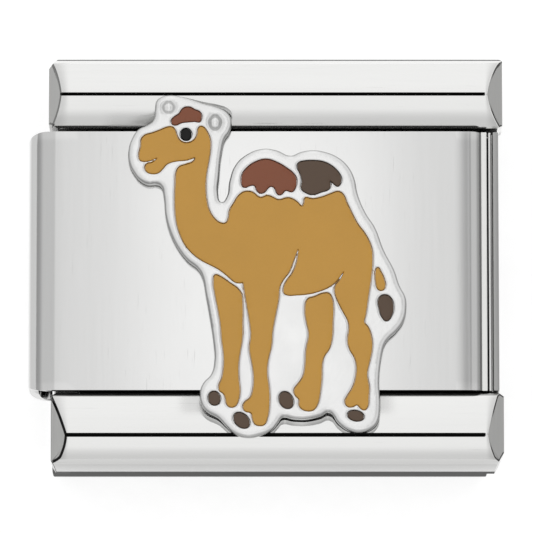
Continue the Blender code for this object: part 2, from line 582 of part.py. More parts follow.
def emblem():
    """The soldered plate with its raised borders, and the enamel that fills its pockets."""
    coat = HEAD + THROAT_AND_CHEST + NEAR_FORELEG + BELLY + NEAR_HINDLEG + RUMP_AND_BACK + NAPE
    fields = [
        ("enamel_coat", smooth_outline(coat, 3), OCHRE),
        ("enamel_far_foreleg", smooth_outline(FAR_FORELEG, 3), OCHRE),
        ("enamel_far_hindleg", smooth_outline(FAR_HINDLEG, 3), OCHRE),
        ("enamel_tail", smooth_outline(TAIL), OCHRE),
        ("enamel_tail_tuft", smooth_outline(TAIL_TUFT), UMBER),
        ("enamel_forelock", smooth_outline(FORELOCK, 3), RUSSET),
        ("enamel_front_hump", smooth_outline(FRONT_HUMP, 3), RUSSET),
        ("enamel_rear_hump", smooth_outline(REAR_HUMP, 3), UMBER),
        ("enamel_eye", ellipse(*EYE), BLACK),
    ]
    fields += [("enamel_hoof_" + leg, ellipse(*shape), UMBER) for leg, shape in HOOVES.items()]
    plate = slab("emblem_plate", smooth_outline(SILHOUETTE), EMBLEM_BOTTOM, EMBLEM_TOP, SILVER)
    outline = shrink(smooth_outline(SILHOUETTE, 2), PAD_INSET)
    pad = slab("emblem_pad", outline, FACE_TOP + CLEARANCE, EMBLEM_BOTTOM - CLEARANCE, SOLDER)
    cut_away(pad, block("pad_end_far", (-6, PAD_HALF_WIDTH, 2), (6, 6, 3.5)))
    cut_away(pad, block("pad_end_near", (-6, -6, 2), (6, -PAD_HALF_WIDTH, 3.5)))
    pieces = [plate, pad]
    for name, ring, finish in fields:
        pocket = slab(name.replace("enamel", "pocket"), ring, POCKET_FLOOR, EMBLEM_TOP + 0.1, SILVER)
        cut_away(plate, pocket)
        inlay = shrink(ring, CLEARANCE)
        pieces.append(slab(name, inlay, POCKET_FLOOR + CLEARANCE, ENAMEL_TOP, finish))
    return pieces


def hang_on_hinge(pieces):
    """Puts the face half on an empty at the hinge axis, with each piece left where it is."""
    hinge = bpy.data.objects.new("face_hinge", None)
    hinge.location = Vector((HINGE_X, 0, HINGE_Z)) * MM
    bpy.context.scene.collection.objects.link(hinge)
    for piece in pieces:
        piece.parent = hinge
        piece.location = -hinge.location


clear_scene()
back_sleeve()
leaf_spring("back_spring", -3.9, 2.4, SHEET + 0.05, 1.10)
staple("staple_far", 1)
staple("staple_near", -1)
hook("hook_far", 1)
hook("hook_near", -1)
face_half = [tray(), rail("rail_far", 1), rail("rail_near", -1), face_plate()]
face_half.append(leaf_spring("face_spring", -4.0, 4.2, TRAY_BOTTOM + TRAY_SHEET + 0.05, 2.48))
face_half += emblem()
hang_on_hinge(face_half)
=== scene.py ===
"""A stainless steel bracelet link with an enamelled camel, face up on a pale table.

Pieces are modelled in millimetres and written to their meshes in metres, in the frame of the CAD.
"""
import json
from math import asin, cos, exp, pi, radians, sin, tan

import bmesh
import bpy
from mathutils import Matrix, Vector, geometry, kdtree


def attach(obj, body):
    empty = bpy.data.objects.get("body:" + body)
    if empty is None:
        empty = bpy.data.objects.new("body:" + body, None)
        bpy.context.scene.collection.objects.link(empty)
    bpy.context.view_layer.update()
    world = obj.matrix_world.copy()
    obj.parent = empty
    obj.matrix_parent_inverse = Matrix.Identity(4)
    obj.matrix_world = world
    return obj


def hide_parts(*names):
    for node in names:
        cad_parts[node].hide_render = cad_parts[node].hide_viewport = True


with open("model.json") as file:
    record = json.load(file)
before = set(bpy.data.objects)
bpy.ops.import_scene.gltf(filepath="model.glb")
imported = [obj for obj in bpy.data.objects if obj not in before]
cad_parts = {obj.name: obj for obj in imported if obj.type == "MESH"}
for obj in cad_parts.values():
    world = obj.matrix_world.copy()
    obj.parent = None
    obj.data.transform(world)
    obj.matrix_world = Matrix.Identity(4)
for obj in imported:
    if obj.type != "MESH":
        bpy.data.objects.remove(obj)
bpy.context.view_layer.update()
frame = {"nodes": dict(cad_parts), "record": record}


# ---------------------------------------------------------------- back sleeve
# The lower half of the link is stainless sheet folded into a flat tube. Its seam lies on the hidden
# side, and it is notched at both ends, for the rolled edge of the face and for the hooks.
MM = 0.001
STEEP_SIDE = 0.35           # a face that looks this far sideways is left as folded, not polished, and is painted dark grey as shade


def copy_of(node):
    """A CAD node's mesh in millimetres, with its loose triangles joined into whole flat faces."""
    shape = bmesh.new()
    shape.from_mesh(frame["nodes"][node].data)
    bmesh.ops.scale(shape, vec=(1 / MM,) * 3, verts=shape.verts)
    bmesh.ops.remove_doubles(shape, verts=shape.verts, dist=0.0004)
    bmesh.ops.dissolve_limit(
        shape, angle_limit=radians(0.4), verts=shape.verts, edges=shape.edges
    )
    return shape


def soften(shape, radius, sharper_than=40, segments=3, only=None, material=-1):
    """Rounds the edges that are sharper than an angle in degrees."""
    edges = [e for e in shape.edges if e.is_manifold and e.calc_face_angle() > radians(sharper_than)]
    if only:
        edges = [e for e in edges if only(e)]
    bmesh.ops.bevel(
        shape, geom=edges, offset=radius, segments=segments, profile=0.5, affect="EDGES",
        clamp_overlap=True, material=material,
    )


def finished(shape, name, body, nodes, materials, sharp=30, weighted=True):
    """Writes a shape to a mesh object in metres, hangs it on its body, and hides the CAD nodes that it
    stands for. Weighted normals keep the broad faces flat right up to their rounded edges."""
    bmesh.ops.scale(shape, vec=(MM,) * 3, verts=shape.verts)
    mesh = bpy.data.meshes.new(name)
    shape.to_mesh(mesh)
    shape.free()
    for material in materials:
        mesh.materials.append(material)
    mesh.shade_smooth()
    mesh.set_sharp_from_angle(angle=radians(sharp))
    piece = bpy.data.objects.new(name, mesh)
    bpy.context.scene.collection.objects.link(piece)
    if weighted:
        normals = piece.modifiers.new("weighted", "WEIGHTED_NORMAL")
        normals.mode = "FACE_AREA"
        normals.weight = 80
        normals.keep_sharp = True
    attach(piece, body)
    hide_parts(*nodes)
    return piece


class Value:
    """A number that varies over a surface. Arithmetic on it adds Math nodes to its finish."""

    def __init__(self, finish, socket):
        self.finish = finish
        self.socket = socket

    def math(self, operation, *values):
        return self.finish.node("ShaderNodeMath", {"operation": operation}, dict(enumerate(values)))

    def __add__(self, other):
        return self.math("ADD", self, other)

    def __radd__(self, other):
        return self.math("ADD", other, self)

    def __sub__(self, other):
        return self.math("SUBTRACT", self, other)

    def __rsub__(self, other):
        return self.math("SUBTRACT", other, self)

    def __mul__(self, other):
        return self.math("MULTIPLY", self, other)

    def __neg__(self):
        return self.math("SUBTRACT", 0, self)

    def __truediv__(self, other):
        return self.math("DIVIDE", self, other)

    def __abs__(self):
        return self.math("ABSOLUTE", self)

    def ramp(self, low, high):
        """0 at low and 1 at high, with a soft start and end."""
        return self.finish.node(
            "ShaderNodeMapRange",
            {"interpolation_type": "SMOOTHSTEP"},
            {"Value": self, "From Min": low, "From Max": high},
        )


class Finish:
    """A node tree with one shader, and the few ways in which nodes are added to it."""

    def __init__(self, tree):
        self.tree = tree

    @classmethod
    def material(cls, name, **constants):
        made = bpy.data.materials.new(name)
        made.use_nodes = True
        finish = cls(made.node_tree)
        finish.made = made
        finish.shader = made.node_tree.nodes["Principled BSDF"]
        for socket, value in constants.items():
            finish.shader.inputs[socket.replace("_", " ")].default_value = value
        return finish

    def plug(self, socket, value):
        if isinstance(value, Value):
            self.tree.links.new(value.socket, socket)
        elif hasattr(socket.default_value, "__len__") and len(value) < len(socket.default_value):
            socket.default_value = (*value, 1.0)
        else:
            socket.default_value = value

    def node(self, kind, settings=None, inputs=None, output=0):
        """Adds a node of a kind, makes its settings, then fills its sockets."""
        made = self.tree.nodes.new(kind)
        for setting, value in (settings or {}).items():
            setattr(made, setting, value)
        for socket, value in (inputs or {}).items():
            self.plug(made.inputs[socket], value)
        return Value(self, made.outputs[output])

    def place(self, output="Object"):
        return self.node("ShaderNodeTexCoord", output=output)

    def axes(self, vector):
        """The three parts of a vector, as values."""
        split = self.tree.nodes.new("ShaderNodeSeparateXYZ")
        self.plug(split.inputs[0], vector)
        return [Value(self, part) for part in split.outputs]

    def stretched(self, scale):
        """Places on the piece, in metres, multiplied by a scale for each axis."""
        return self.node("ShaderNodeMapping", None, {"Vector": self.place(), "Scale": scale})

    def noise(self, scale, detail=3.0, roughness=0.5):
        return self.node(
            "ShaderNodeTexNoise",
            None,
            {
                "Vector": self.stretched(scale),
                "Scale": 1.0,
                "Detail": detail,
                "Roughness": roughness,
            },
        )

    def mix(self, share, first, second):
        """One colour turning into another."""
        return self.node(
            "ShaderNodeMix",
            {"data_type": "RGBA"},
            {0: share, 6: first, 7: second},
            output=2,
        )

    def bump(self, height, strength, distance):
        return self.node(
            "ShaderNodeBump", None, {"Height": height, "Strength": strength, "Distance": distance}
        )

    def feed(self, **inputs):
        for socket, value in inputs.items():
            self.plug(self.shader.inputs[socket.replace("_", " ")], value)
        return self.made


def polished(name, grain, colour=(0.80, 0.80, 0.79), shine=0.075, painted_shade=None, dulled=None):
    """Mirror-polished stainless steel: faint polishing lines along the grain, handling haze, and painted
    shade that darkens it towards near black, as a share worked out by the function given for it. Another
    share, dulled(), is for where the wheel only just reached."""
    steel = Finish.material(name, Metallic=1.0)
    haze = steel.noise((420, 420, 420), detail=4, roughness=0.6)
    lines = steel.noise(grain, detail=5, roughness=0.65)
    scuffs = steel.noise([s * 3.7 for s in grain], detail=2).ramp(0.66, 0.80)
    bright = steel.mix(lines, [c * 0.97 for c in colour], [min(1, c * 1.03) for c in colour])
    bright = steel.mix(scuffs * 0.25, bright, (0.62, 0.62, 0.61))
    rough = shine + haze * 0.05 + scuffs * 0.10 + lines * 0.03
    if painted_shade:
        # painted shade: this share turns the colour towards near black
        shade_share = painted_shade(*steel.axes(steel.place())) * steel.noise((9000, 9000, 9000)).ramp(0.0, 0.30)
        bright = steel.mix(shade_share * 0.97, bright, (0.012, 0.012, 0.012))
        rough = rough + shade_share * 0.45
    if dulled:
        rough = rough + dulled(*steel.axes(steel.place())) * 0.25
    normal = steel.bump(lines, 0.06, 0.0000012)
    return steel.feed(Base_Color=bright, Roughness=rough, Normal=normal)


def abraded(name, grain, dark, light, shine, shaded_sides=False, edge=1.0):
    """Steel with the lines of a wheel or saw left in it, between a dark and a light grey; each copy's
    greys are painted light and shade, from near black to near white. With its sides flag set it darkens
    towards both sides of its rail as painted shade, and edge is how much sheen is left at a low angle."""
    steel = Finish.material(name, Metallic=1.0, Specular_Tint=(edge, edge, edge, 1.0))
    lines = steel.noise(grain, detail=5, roughness=0.7)
    colour = steel.mix(lines, (dark, dark, dark * 0.98), (light, light, light * 0.98))
    if shaded_sides:
        # painted shade towards both sides of the rail
        _, y, _ = steel.axes(steel.place())
        sides = abs(abs(y / MM) - RAIL_MIDDLE).ramp(0.22, 0.46)
        colour = steel.mix(sides, colour, (0.10, 0.10, 0.098))
    return steel.feed(
        Base_Color=colour,
        Roughness=shine + lines * 0.14,
        Normal=steel.bump(lines, 0.3, 0.000002),
    )


def shade_under_corner(x, y, z):
    """Painted shade on the sleeve's top, down in the gap beside the rolled edge."""
    left = 1 - (x / MM).ramp(-4.45, -4.35)
    return (z / MM).ramp(1.30, 1.36) * left * (1 - abs(y / MM).ramp(3.08, 3.2))


sleeve = copy_of("back_sleeve")
soften(sleeve, 0.035)
# the sleeve's sides get a dark grey painted as shade
for face in sleeve.faces:
    if abs(face.normal.y) > STEEP_SIDE:
        face.material_index = 1
finished(
    sleeve, "folded_back_sleeve", "back_half", ["back_sleeve"],
    [
        polished("tumbled_steel", (600, 9000, 9000), shine=0.12, painted_shade=shade_under_corner),
        abraded("shaded_folded_side", (500, 9000, 9000), 0.16, 0.24, shine=0.28, edge=0.3),
    ],
)


# ---------------------------------------------------------------- springs, staples and hooks
# Small stampings of hard spring strip: two leaf springs, the two staples that the face half hangs
# on, and the two hooks for the next link. They keep the rolling lines of the strip they were cut from.
rolled = Finish.material("spring_strip", Metallic=1.0)
rolling = rolled.noise((1500, 42000, 42000), detail=4, roughness=0.7)
tint = rolled.noise((900, 900, 900), detail=2)
spring_strip = rolled.feed(
    Base_Color=rolled.mix(rolling * 0.6 + tint * 0.4, (0.47, 0.465, 0.45), (0.66, 0.655, 0.645)),
    Roughness=0.20 + rolling * 0.16,
    Normal=rolled.bump(rolling, 0.25, 0.000003),
)

for node, radius in (
    ("back_spring", 0.012),
    ("face_spring", 0.012),
    ("staple_far", 0.03),
    ("staple_near", 0.03),
    ("hook_far", 0.03),
    ("hook_near", 0.03),
):
    strip = copy_of(node)
    soften(strip, radius, sharper_than=50)
    body = "face_half" if node == "face_spring" else "back_half"
    finished(strip, "stamped_" + node, body, [node], [spring_strip])


# ---------------------------------------------------------------- tray
# The floor of the face half: thin sheet that carries the spring, its right end turned up and hemmed
# over so that a crease shows between the two layers.
TRAY_DARK_BELOW = (2.30, 2.62)


def shade_inside_link(x, y, z):
    """Painted shade on everything down inside the link, and a greyer top, also painted shade, on the
    hem's outer layer.
    """
    hem = (x / MM).ramp(4.93, 4.96) * 0.45
    return (1 - (z / MM).ramp(*TRAY_DARK_BELOW)) * (1 - (x / MM).ramp(4.86, 4.96)) + hem


tray = copy_of("tray")
soften(tray, 0.022)
finished(
    tray, "hemmed_tray", "face_half", ["tray"],
    [polished("tray_steel", (9000, 600, 9000), shine=0.14, painted_shade=shade_inside_link)],
)


# ---------------------------------------------------------------- side rails
# Two solid bars, silver-brazed to the tray and polished to a mirror, with a groove along the low ridge of
# each that is painted black, a painted reflection of a dark line along the ridge. Their ends are ground
# by hand to inclined facets with worked rims, and their outer sides are left as sawn. The greys of the
# facets, rims, borders, inner bevels and outer sides are painted light and shade, from near white to near
# black, and the inner sides are painted near black down into the gap.
BAND_HALF = 4.5
RAIL_MIDDLE = 3.72          # halfway across a rail's top
RAIL_BASE_Z = 1.45
RAIL_RIDGE_Z = 2.85
RAIL_PITCH = radians(8)
SHOULDER_PITCH = radians(28)
SHOULDER_WIDTH = 0.21
GROOVE_DEPTH = 0.05
# Inner side, bevel along its edge, the edge's height, the ridge, and the foot of the rounded edge.
RAIL_SECTION = {
    "rail_far": (2.94, 0.03, 2.58, 3.65, 2.32),
    "rail_near": (2.89, 0.06, 2.66, 3.83, 1.83),
}
# the inner bevel's finish is painted: a highlight on the far rail and shade on the near one
BEVEL_FINISH = {"rail_far": "highlit_rim", "rail_near": "shaded_ground_steel"}
GROOVES = {"rail_far": (0.037, 4.75), "rail_near": (0.044, 4.73)}    # half width, right end
# Place, the facet's reach, lean and skew, length and width of the outer and of the inner corner.
RAIL_ENDS = {
    "rail_far": (
        (-4.73, 0.29, 0.75, 0.0, 0.20, 0.23, 0.20, 0.11),
        (5.16, 0.345, 0.95, 0.0, 0.07, 0.06, 0.10, 0.06),
    ),
    "rail_near": (
        (-4.65, 0.35, 1.20, 0.12, 0.09, 0.15, 0.10, 0.06),
        (5.16, 0.36, 0.95, 0.03, 0.18, 0.33, 0.10, 0.06),
    ),
}
# the facets, rims and borders are painted light and shade in these finishes, the near rail's left rim and
# border near black
# Finish of the facet, radius and finish of its rim, width and finish of the border inside the rim.
RAIL_FACETS = {
    "rail_far": (
        ("shaded_ground_steel", 0.03, "dark_rim", 0.060, "dark_rim"),
        ("shaded_ground_steel", 0.06, "highlit_rim", 0.040, "facet_border"),
    ),
    "rail_near": (
        ("lit_ground_steel", 0.03, "black_painted_rim", 0.045, "black_painted_rim"),
        ("shaded_ground_steel", 0.06, "highlit_rim", 0.040, "facet_border"),
    ),
}
STRAIGHT_BETWEEN = (-4.26, 4.68)    # lines across here keep the long faces straight up to the ends
WORKED_BEYOND = 4.20                # rims are only worked on edges further out than this
EMBLEM_HEAD_X = -2.75
EMBLEM_FEET_X = 0.45


def gap_and_side_shade(x, y, z):
    """Painted shade: the rails' inner sides below the polished edge go near black down into the gap, and
    a darker, duller stretch lies low on the near one's outer edge.
    """
    side = y / MM
    gap = (1 - (z / MM).ramp(2.52, 2.55)) * (1 - abs(side).ramp(3.06, 3.12))
    gap = gap * (1 - (x / MM).ramp(5.03, 5.08))
    return gap + (-side).ramp(4.30, 4.34) * (1 - (z / MM).ramp(2.42, 2.60)) * 0.36


def beside_gap(x, y, z):
    """The foot of the rails' inner slopes. Solder haze dulls it more beside the emblem's head and
    feet."""
    side = y / MM
    head = 1 - abs(x / MM - EMBLEM_HEAD_X).ramp(0.45, 0.90)
    feet = 1 - abs(x / MM - EMBLEM_FEET_X).ramp(2.10, 2.50)
    far = (1 - side.ramp(3.12, 3.36)) * side.ramp(0, 1) * (0.25 + head * 0.75)
    return far + (1 - (-side).ramp(3.20, 3.50)) * (-side).ramp(0, 1) * feet


# Besides the polished steel, these are one ground finish in different greys, painted light and shade:
# rims near white as highlight, facets, borders and sides in greys as shade, and a near-black finish for
# painted black lines.
rail_finishes = [
    polished("rail_steel", (260, 11000, 11000), shine=0.035, painted_shade=gap_and_side_shade, dulled=beside_gap),
    abraded("shaded_ground_steel", (9000, 700, 9000), 0.46, 0.56, shine=0.24),
    abraded("shaded_sawn_steel", (500, 9000, 9000), 0.16, 0.24, shine=0.28, edge=0.3),
    abraded("highlit_rim", (9000, 700, 9000), 0.93, 0.97, shine=0.20),
    abraded("black_painted_rim", (9000, 9000, 9000), 0.01, 0.03, shine=0.40),
    abraded("facet_border", (9000, 700, 9000), 0.46, 0.56, shine=0.24, shaded_sides=True),
    abraded("dark_rim", (9000, 700, 9000), 0.20, 0.27, shine=0.24),
    abraded("lit_ground_steel", (9000, 700, 9000), 0.68, 0.80, shine=0.24),
]
number_of = {finish.name: k for k, finish in enumerate(rail_finishes)}


def sliced(shape, place, outwards, clear=False):
    """Slices the shape along a plane, and clears what lies beyond it if asked to."""
    everything = shape.verts[:] + shape.edges[:] + shape.faces[:]
    return bmesh.ops.bisect_plane(
        shape, geom=everything, dist=1e-6, plane_co=place, plane_no=outwards, clear_outer=clear
    )["geom_cut"]


def trim(shape, place, outwards):
    """Takes everything off beyond a plane, and closes the cut."""
    cut = sliced(shape, place, outwards, clear=True)
    edges = [e for e in cut if isinstance(e, bmesh.types.BMEdge)]
    return bmesh.ops.contextual_create(shape, geom=edges)["faces"]


def end_vert(result):
    return [g for g in result["geom_last"] if isinstance(g, bmesh.types.BMVert)]


def rail(node, side):
    """A ridged bar along X. Side is 1 for the far one."""
    inner, lip, lip_height, ridge, foot = RAIL_SECTION[node]
    left, right = RAIL_ENDS[node]
    shape = bmesh.new()

    def slope(start, way, width, steepest, steps):
        """Carries the section on from the ridge along an arc."""
        radius = width / (sin(steepest) - sin(RAIL_PITCH))
        centre = (0, ridge - way * radius * sin(RAIL_PITCH), RAIL_RIDGE_Z - radius * cos(RAIL_PITCH))
        return end_vert(
            bmesh.ops.spin(
                shape, geom=start, cent=centre, axis=(-way, 0, 0), angle=steepest - RAIL_PITCH,
                steps=steps,
            )
        )

    top = [shape.verts.new((left[0], ridge, RAIL_RIDGE_Z))]
    width = ridge - inner - lip
    chord = Vector((width, RAIL_RIDGE_Z - lip_height)).angle(Vector((1, 0)))
    inside_end = slope(top, -1, width, 2 * chord - RAIL_PITCH, 24)
    outside_end = slope(top, 1, BAND_HALF - SHOULDER_WIDTH - ridge, SHOULDER_PITCH, 20)

    # the rounded outer edge is spun as a part of a circle, and then stretched to its height
    height = outside_end[0].co.z - foot
    share = tan(SHOULDER_PITCH) * SHOULDER_WIDTH / height
    start = asin(share / (1 - share))
    across = SHOULDER_WIDTH / (1 - sin(start))
    rise = height / cos(start)
    kept = set(shape.verts)
    outside_end[0].co.z = foot + across * cos(start)
    outside_foot = end_vert(
        bmesh.ops.spin(
            shape, geom=outside_end, cent=(0, BAND_HALF - across, foot), axis=(-1, 0, 0),
            angle=pi / 2 - start, steps=26,
        )
    )
    for vert in [outside_end[0]] + [v for v in shape.verts if v not in kept]:
        vert.co.z = foot + (vert.co.z - foot) * rise / across

    # straight sides and base, then drawn along X
    corners = [
        shape.verts.new((left[0], y, z))
        for y, z in ((inner, lip_height - lip), (inner, RAIL_BASE_Z), (BAND_HALF, RAIL_BASE_Z))
    ]
    for pair in zip(inside_end + corners, corners + outside_foot):
        shape.edges.new(pair)
    section = bmesh.ops.contextual_create(shape, geom=shape.edges[:])["faces"]
    grown = bmesh.ops.extrude_face_region(shape, geom=section)["geom"]
    moved = [g for g in grown if isinstance(g, bmesh.types.BMVert)]
    bmesh.ops.translate(shape, vec=(right[0] - left[0], 0, 0), verts=moved)
    bmesh.ops.recalc_face_normals(shape, faces=shape.faces)

    # the ends: inclined facet and two corners each
    for way, end, (finish, *_) in zip((-1, 1), (left, right), RAIL_FACETS[node]):
        x, reach, lean, skew, long, wide, inner_long, inner_wide = end
        place = Vector((x - way * reach, ridge, RAIL_RIDGE_Z))
        for face in trim(shape, place, Vector((way, skew, lean))):
            face.material_index = number_of[finish]
        trim(shape, Vector((x - way * long, BAND_HALF, 0)), Vector((way * wide, long, 0)))
        inwards = Vector((way * inner_wide, -inner_long, 0))
        trim(shape, Vector((x - way * inner_long, inner, 0)), inwards)
    bmesh.ops.recalc_face_normals(shape, faces=shape.faces)

    # the finishes of the outer side and of the foot of the far rail's rounded edge, painted dark grey and
    # near black as shade, and of the inner bevel, painted as a highlight on the far rail and as shade on
    # the near one
    for face in shape.faces:
        if face.calc_center_median().z < foot and face.normal.y > 0.5:
            face.material_index = number_of["shaded_sawn_steel"]
        elif side > 0 and face.normal.y > 0.87:
            face.material_index = number_of["black_painted_rim"]
        elif -0.9 < face.normal.y < -0.6 and abs(face.normal.x) < 0.1:
            face.material_index = number_of[BEVEL_FINISH[node]]

    # the worked rims of the facets, painted as highlight or shade, and the small rounds along the bar
    for x in STRAIGHT_BETWEEN:
        sliced(shape, Vector((x, 0, 0)), Vector((1, 0, 0)))
    for way, (_, rim, rim_finish, _, _) in zip((-1, 1), RAIL_FACETS[node]):
        soften(
            shape, rim, sharper_than=25, segments=4, material=number_of[rim_finish],
            only=lambda e: all(way * v.co.x > WORKED_BEYOND for v in e.verts)
            and any(abs(f.normal.x) > 0.5 for f in e.link_faces),
        )
    plain = (number_of["rail_steel"], number_of["shaded_sawn_steel"])
    soften(
        shape, 0.02, sharper_than=30, segments=3,
        only=lambda e: all(f.material_index in plain for f in e.link_faces)
        and abs(e.verts[0].co.x - e.verts[1].co.x) > 1,
    )
    # the border inside each facet's rim is painted shade, near black on the near rail's left end
    for way, end, (finish, _, _, width, border) in zip((-1, 1), (left, right), RAIL_FACETS[node]):
        facets = [
            f for f in shape.faces
            if f.material_index == number_of[finish] and f.calc_area() > 0.15
            and f.normal.x * way > 0.3 and f.normal.z > 0.3
        ]
        for face in bmesh.ops.inset_individual(shape, faces=facets, thickness=width)["faces"]:
            if abs(face.calc_center_median().x - end[0]) > width:
                face.material_index = number_of[border]

    # the groove: the line of the ridge is pressed down between two lines beside it, and its faces are
    # painted black, a painted reflection of a dark line along the ridge
    half, stop = GROOVES[node]
    for y in (ridge - half, ridge, ridge + half):
        sliced(shape, Vector((0, y, 0)), Vector((0, 1, 0)))
    for x in (stop, stop + 0.02):
        sliced(shape, Vector((x, 0, 0)), Vector((1, 0, 0)))
    pressed = set()
    for vert in shape.verts:
        share = 1 - abs(vert.co.y - ridge) / half
        if share > 0.01 and vert.co.z > RAIL_RIDGE_Z - 0.012 and vert.co.x < stop + 0.01:
            vert.co.z -= GROOVE_DEPTH * share
            pressed.add(vert)
    for face in shape.faces:
        if len(pressed.intersection(face.verts)) >= 2 and abs(face.calc_center_median().y - ridge) < half:
            face.material_index = number_of["black_painted_rim"]
    if side < 0:
        bmesh.ops.scale(shape, vec=(1, -1, 1), verts=shape.verts)
        bmesh.ops.reverse_faces(shape, faces=shape.faces)
    return finished(shape, "ridged_" + node, "face_half", [node], rail_finishes)


rail("rail_far", 1)
rail("rail_near", -1)


# ---------------------------------------------------------------- face plate
# Thin polished sheet that covers the face. Its left end is rolled right under to hold the staples, with
# slots where they pass. Its right end is pressed down to a narrow lip, painted near white as a highlight.
# Its cut edges and the crease before the lip carry painted shade.
PLATE_HALF = 2.84
PLATE_TOP = 2.75
PLATE_SHEET = 0.20
PLATE_COLOUR = (0.72, 0.72, 0.715)
PLATE_LEFT = -5.16
CURL_CENTRE = (-4.76, 1.45)
CURL_RADIUS = 0.40
CURL_SWEEP = 104
BEND_CENTRE = (-4.56, 2.15)
BEND_RADIUS = 0.60
RIGHT_CENTRE = (4.41, 2.42)
RIGHT_SWEEP = 50
LIP = ((4.672, 2.628), (4.690, 2.640), (4.740, 2.640), (4.790, 2.640))
LIP_ROUND = 0.02
LIP_BOTTOM = 2.27
LIP_INSIDE = (4.61, 2.43)   # nothing of the sheet's underside reaches beyond these
BENT_FROM = 4.55            # where the underside starts to be held to them
CREASE_X = 4.658
LIP_HIGHLIGHT_FROM = 4.685
SETTLE_FROM = 4.10          # where the sheet starts to sink towards the right bend
SETTLE = 0.11
CORNER_LONG = 0.37
CORNER_WIDE = 0.17
SLOT_INNER = 2.00
SLOT_OUTER = 2.40
SLOT_TOP = 2.23


def plate_edge_shade(x, y, z):
    """Painted shade along the cut edges of the sheet, and a lighter painted shade in the crease before
    the lip.
    """
    side = abs(y / MM).ramp(PLATE_HALF - 0.012, PLATE_HALF - 0.004)
    side = side * (1 - (z / MM).ramp(2.66, 2.72)) * (x / MM).ramp(-4.9, -4.6)
    crease = 1 - abs(x / MM - CREASE_X).ramp(0.008, 0.032)
    return side.math("MAXIMUM", side, crease * 0.65)


